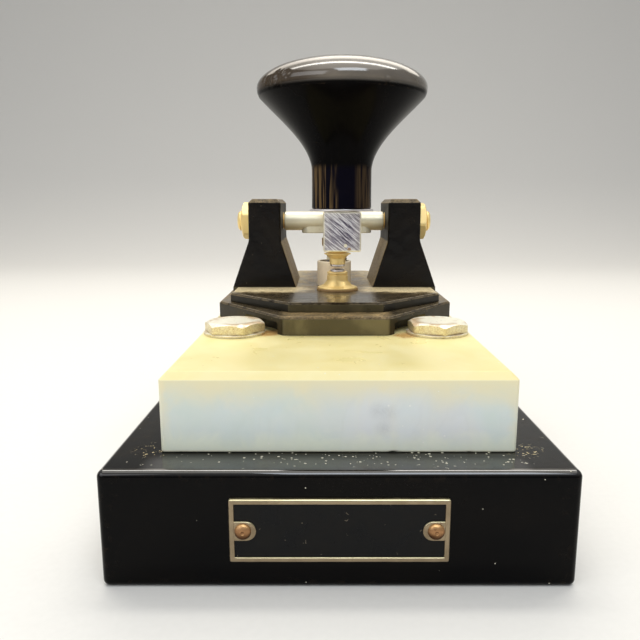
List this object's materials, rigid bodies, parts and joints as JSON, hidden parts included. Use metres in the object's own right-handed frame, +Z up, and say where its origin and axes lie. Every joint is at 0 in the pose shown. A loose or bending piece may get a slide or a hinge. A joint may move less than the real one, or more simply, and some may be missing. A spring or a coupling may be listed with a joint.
{
  "type": "straight telegraph key",
  "caption": "Hand key: knobbed lever rocking on cone pivots between cast posts, with contacts, return spring and adjusting screws, on a marble slab and moulded base.",
  "frame": {"origin": "middle of the base's underside, on the surface that the key stands on", "axes": "+X to the operator's right, +Y away from the operator towards the terminals, +Z up"},
  "size_m": [0.086, 0.1566, 0.0965],
  "materials": {
    "base_moulding": "moulded black, glossy with fine dust",
    "knob_moulding": "moulded black, polished, chipped at the rim",
    "frame_enamel": "black enamel on a casting, dusty on its ledges",
    "marble": "honed cream marble with soft grey clouds",
    "nickel": "nickel plate, lightly tarnished",
    "steel": "bright turned steel",
    "brass": "turned brass, aged",
    "silver": "contact silver",
    "fibre": "brown insulating fibre board",
    "plate_enamel": "nickel silver plate with a black enamel field",
    "rivet_copper": "copper-brown domed rivets"
  },
  "bodies": {
    "base_assembly": {"base": "base_moulding", "base_cover": "fibre", "cover_screws": "steel", "nameplate": "plate_enamel", "nameplate_rivets": "rivet_copper", "marble_slab": "marble", "slab_bolts": "nickel", "slab_washers": "nickel", "slab_nuts": "nickel", "key_frame": "frame_enamel", "frame_bolts": "steel", "frame_bolt_washer": "steel", "pivot_screws": "brass", "pivot_lock_nuts": "brass", "anvil_contact": "brass", "anvil_tip": "silver", "anvil_bush": "fibre", "anvil_nut": "brass", "anvil_strap": "brass", "frame_strap": "brass", "spring_cup": "nickel", "return_spring": "steel", "back_stop": "nickel", "terminal_studs": "brass", "terminal_lower_nuts": "brass"},
    "lever": {"lever_bar": "nickel", "trunnion_left": "nickel", "trunnion_right": "nickel", "knob": "knob_moulding", "knob_washer": "silver", "knob_screw": "steel", "hammer_contact": "brass", "hammer_tip": "silver", "hammer_lock_nuts": "brass", "spring_lock_nut": "brass", "gap_lock_nut": "brass"},
    "spring_screw_shank": {"spring_screw": "steel"},
    "spring_screw_knob": {"spring_screw_head": "brass"},
    "gap_screw_shank": {"gap_screw": "steel"},
    "gap_screw_knob": {"gap_screw_head": "brass"},
    "left_wire_washer": {"terminal_washer_left": "brass"},
    "left_thumb_nut": {"thumb_nut_left": "brass"},
    "right_wire_washer": {"terminal_washer_right": "brass"},
    "right_thumb_nut": {"thumb_nut_right": "brass"}
  },
  "joints": [
    {"name": "lever_pivot", "type": "hinge", "parent": "base_assembly", "child": "lever", "pos_m": [0, 0.0143, 0.0632], "axis": [1, 0, 0], "range_deg": [0, 1.5], "stiffness_Nm_per_rad": 0.08, "springref_deg": -35.81, "deforming": ["return_spring"]},
    {"name": "spring_screw_travel", "type": "slide", "parent": "lever", "child": "spring_screw_shank", "axis": [0, 0, -1], "range_m": [0, 0.0016], "deforming": ["return_spring"]},
    {"name": "spring_screw_turn", "type": "hinge", "parent": "spring_screw_shank", "child": "spring_screw_knob", "pos_m": [0.0008, 0.007, 0.074], "axis": [0, 0, -1], "range_deg": [0, 720]},
    {"name": "gap_screw_travel", "type": "slide", "parent": "lever", "child": "gap_screw_shank", "axis": [0, 0, 1], "range_m": [0, 0.00105]},
    {"name": "gap_screw_turn", "type": "hinge", "parent": "gap_screw_shank", "child": "gap_screw_knob", "pos_m": [0.0008, 0.0415, 0.074], "axis": [0, 0, 1], "range_deg": [0, 540]},
    {"name": "left_washer_lift", "type": "slide", "parent": "base_assembly", "child": "left_wire_washer", "axis": [0, 0, 1], "range_m": [0, 0.0021]},
    {"name": "left_thumb_nut_turn", "type": "hinge", "parent": "left_wire_washer", "child": "left_thumb_nut", "pos_m": [-0.0244, 0.0523, 0.0447], "axis": [0, 0, 1], "range_deg": [0, 1080]},
    {"name": "right_washer_lift", "type": "slide", "parent": "base_assembly", "child": "right_wire_washer", "axis": [0, 0, 1], "range_m": [0, 0.0021]},
    {"name": "right_thumb_nut_turn", "type": "hinge", "parent": "right_wire_washer", "child": "right_thumb_nut", "pos_m": [0.0244, 0.0523, 0.0447], "axis": [0, 0, 1], "range_deg": [0, 1080]}
  ],
  "couplings": [
    {"joint": "spring_screw_travel", "follows": "spring_screw_turn", "m_per_rad": 0.00012732},
    {"joint": "gap_screw_travel", "follows": "gap_screw_turn", "m_per_rad": 0.0001114},
    {"joint": "left_washer_lift", "follows": "left_thumb_nut_turn", "m_per_rad": 0.0001114},
    {"joint": "right_washer_lift", "follows": "right_thumb_nut_turn", "m_per_rad": 0.0001114}
  ]
}
